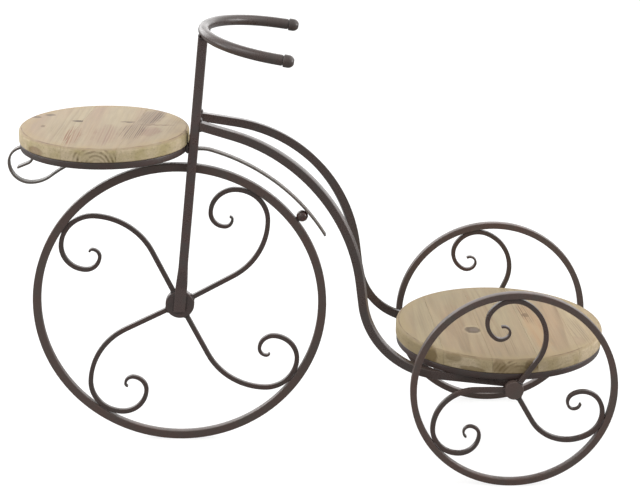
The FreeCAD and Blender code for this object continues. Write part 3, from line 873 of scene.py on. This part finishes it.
# places and sizes in mm, turns in degrees from level round an axle, each bead's length and radius last
frontAxle = (-154.43, 0.0, 175.0)
weldLook = {
    "root": (6.5, 1.2), "touch": (13.0, 1.3),  # a spoke's root on the hub, and its touch on the rim
    "spokeFace": 3.0, "standOff": 0.3,  # half a spoke's width, and a bead's middle from hub and rim
    # each wheel's spokes: flank is half the angle of a root, lean the turn from the root to the touch
    "front": {"axle": frontAxle, "turns": (116.5, 29.3, -62.7, -153.0),
              "hub": 17.2, "rim": 165.2, "flank": 9.6, "lean": 28.6},
    "left": {"axle": (233.77, -127.1, 119.5), "turns": (55.5, -59.6, -179.4),
             "hub": 11.0, "rim": 112.0, "flank": 15.0, "lean": 38.1},
    "right": {"axle": (233.77, 127.1, 119.5), "turns": (66.3, -53.7, -173.7),
              "hub": 11.0, "rim": 112.0, "flank": 15.0, "lean": 38.1},
    "legLean": 4.95,
    "seats": {
        # a seat that both sides of the frame have, then each bead's place from there and its way
        "legFoot": ((frontAxle[0], 5.7, 165.8), [
            ((-0.8, 0, 0), "along", 12, 1.3),
            ((-6.9, 0, 12), "leg", 22, 1.2), ((7.5, 0, 12), "leg", 22, 1.2)]),
        "tubeEnd": ((-129.3, 19.25, 401.8), [
            ((0.9, 0, 5.5), "across", 10, 1.7), ((0.6, 0, -6.2), "across", 10, 2.4),
            ((0.2, -5, -0.5), "leg", 10, 1.2), ((0.2, 5, -0.5), "leg", 10, 1.2)]),
        "ringLug": ((-143.9, 18.0, 373.1), [
            ((0, 0, -3.7), "across", 13, 1.7), ((0, 0, 3.7), "across", 13, 1.7)]),
        "stripFront": ((-333.8, 5.1, 369.0), [((0, 0, 0), "along", 9, 1.2)]),
        "stripRear": ((-147.4, 5.1, 369.0), [((0, 0, 0), "along", 9, 1.2)]),
        "barSeat": ((-125.0, 24.0, 505.0), [
            ((-4.6, 0, 1.9), "across", 10.5, 1.8), ((5.0, 0, -1.7), "across", 10.5, 1.7),
            ((0, -5.5, -0.8), "along", 10, 1.3), ((0, 5.5, -0.8), "along", 10, 1.3)]),
        "sleeveFront": ((226.9, 115.0, 119.3), [((0, 0, 0), "across", 10, 1.6)]),
        "sleeveTop": ((231.6, 115.0, 126.3), [((0, 0, 0), "across", 10, 1.6)]),
    },
    "ball": {"turn": 37.6, "rim": 175.4, "face": 2.2, "bead": (6, 1.2)},
    # where the rear ring lies on the tubes: x from its middle, and the radius there
    "ringOnTubes": {"low": 129.6, "spots": ((-79.0, 122.7), (-57.0, 114.7)), "bead": (16, 1.4)},
}


def layBead(bead, place, way, length, radius):
    return copyTo(bead, place, way, Vector((radius, radius, length / 2)) * mm)


def roundAxle(turn):  # out from an axle, and along its rim
    out = Vector((math.cos(math.radians(turn)), 0.0, math.sin(math.radians(turn))))
    return out, Vector((-out.z, 0.0, out.x))


def wheelWelds(bead, wheel, look):
    beads = []
    axle = Vector(wheel["axle"])
    hub, rim = wheel["hub"] + look["standOff"], wheel["rim"] - look["standOff"]
    for turn in wheel["turns"]:
        for face in (-look["spokeFace"], look["spokeFace"]):
            middle = axle + Vector((0, face, 0))
            for radius, at, size in ((hub, turn, "root"), (rim, turn + wheel["lean"], "touch")):
                out, way = roundAxle(at)
                beads.append(layBead(bead, middle + out * radius, way, *look[size]))
        for flank in (-wheel["flank"], wheel["flank"]):
            out = roundAxle(turn + flank)[0]
            beads.append(layBead(bead, axle + out * hub, (0, 1, 0), *look["root"]))
    return beads


def frameWelds(bead, look):
    beads = []
    lean = math.radians(look["legLean"])
    ways = {"along": (1, 0, 0), "across": (0, 1, 0), "leg": (math.sin(lean), 0.0, math.cos(lean))}
    ball, cross = look["ball"], look["ringOnTubes"]
    for side in (-1, 1):
        for (x, y, z), rows in look["seats"].values():
            for offset, way, length, radius in rows:
                place = Vector((x, side * y, z)) + Vector(offset)
                beads.append(layBead(bead, place, ways[way], length, radius))
        out, way = roundAxle(ball["turn"])
        place = Vector(frontAxle) + out * ball["rim"] + Vector((0, side * ball["face"], 0))
        beads.append(layBead(bead, place, way, *ball["bead"]))
        for x, radius in cross["spots"]:
            y = side * math.sqrt(radius ** 2 - x ** 2)
            place = (rearDisc.x / mm + x, y, cross["low"])
            beads.append(layBead(bead, place, (side * y, -side * x, 0), *cross["bead"]))
    return beads


def makeWelds(look):
    bead = makeBead(beadLook)
    beads = wheelWelds(bead, look["front"], look) + frameWelds(bead, look)
    turning = wheelWelds(bead, look["left"], look) + wheelWelds(bead, look["right"], look)
    bpy.data.objects.remove(bead)
    finishPiece("frameWelds", beads, paints["weldPaint"], "frame")
    finishPiece("wheelWelds", turning, paints["weldPaint"], "rear_wheelset")


makeWelds(weldLook)
print("welds laid")


# floor and studio light

studio = {
    "floorSize": 60.0, "floorTones": (rgb(150, 150, 150), rgb(146, 146, 145)), "floorPatch": (3.0, 2),
    "floorRough": 0.9, "floorGloss": 0.1, "floorGlow": 0.77,
    "front": 0.62, "back": 2.3, "sides": 1.15, "top": 0.95,  # brightness of the room
    "backRange": (-0.75, 0.5), "sideRange": (0.45, 0.9), "topRange": (0.35, 0.85),
    "lights": [
        # place, aims at, size, watts
        ((-1.7, -0.9, 2.2), (0.0, 0.0, 0.2), 1.6, 12.0),
        ((1.9, -0.2, 2.4), (0.1, 0.0, 0.2), 1.8, 9.0),
        ((2.4, -0.3, 0.8), (0.1, 0.0, 0.25), 1.2, 19.0),
        ((-2.4, -0.1, 0.7), (0.0, 0.0, 0.25), 1.0, 7.0),
        ((-1.4, 1.7, 1.05), (-0.13, 0.0, 0.48), 1.4, 9.0),
    ],
}
white = (1.0, 1.0, 1.0, 1.0)


def makeFloor(look):
    floor = startPiece(bpy.ops.mesh.primitive_plane_add, size=look["floorSize"])
    floor.name = "studioFloor"
    material, tree, shader = newMaterial("paleFloor")
    tone = mixColor(tree, noise(tree, objectPlace(tree), *look["floorPatch"]), *look["floorTones"])
    tree.links.new(tone, shader.inputs["Base Color"])
    seen = put(tree, "LightPath").outputs["Is Camera Ray"]  # the sweep glows for the camera alone
    tree.links.new(times(tree, seen, look["floorGlow"]), shader.inputs["Emission Strength"])
    shader.inputs["Emission Color"].default_value = white
    shader.inputs["Roughness"].default_value = look["floorRough"]
    shader.inputs["Specular IOR Level"].default_value = look["floorGloss"]
    floor.data.materials.append(material)


def makeLight(look):
    world = bpy.data.worlds.new("softRoom")
    world.use_nodes = True
    tree = world.node_tree
    way = axes(tree, put(tree, "TexCoord").outputs["Generated"])
    wall = remap(tree, way["Y"], *look["backRange"], look["front"], look["back"], smooth=True)
    beside = remap(tree, calc(tree, "ABSOLUTE", way["X"]), *look["sideRange"], smooth=True)
    wall = mixValue(tree, beside, wall, look["sides"])
    level = mixValue(tree, remap(tree, way["Z"], *look["topRange"]), wall, look["top"])
    tree.links.new(level, tree.nodes["Background"].inputs["Strength"])
    tree.nodes["Background"].inputs["Color"].default_value = white
    bpy.context.scene.world = world
    for place, aim, size, watts in look["lights"]:
        bpy.ops.object.light_add(type="AREA", location=place)
        lamp = bpy.context.object
        lamp.data.shape = "DISK"
        lamp.data.size = size
        lamp.data.energy = watts
        lamp.rotation_euler = (Vector(aim) - Vector(place)).to_track_quat("-Z", "Y").to_euler()
    bpy.context.scene.view_settings.view_transform = "Standard"


makeFloor(studio)
makeLight(studio)
placeCamera(cameraLook)
print("camera, floor and light placed")
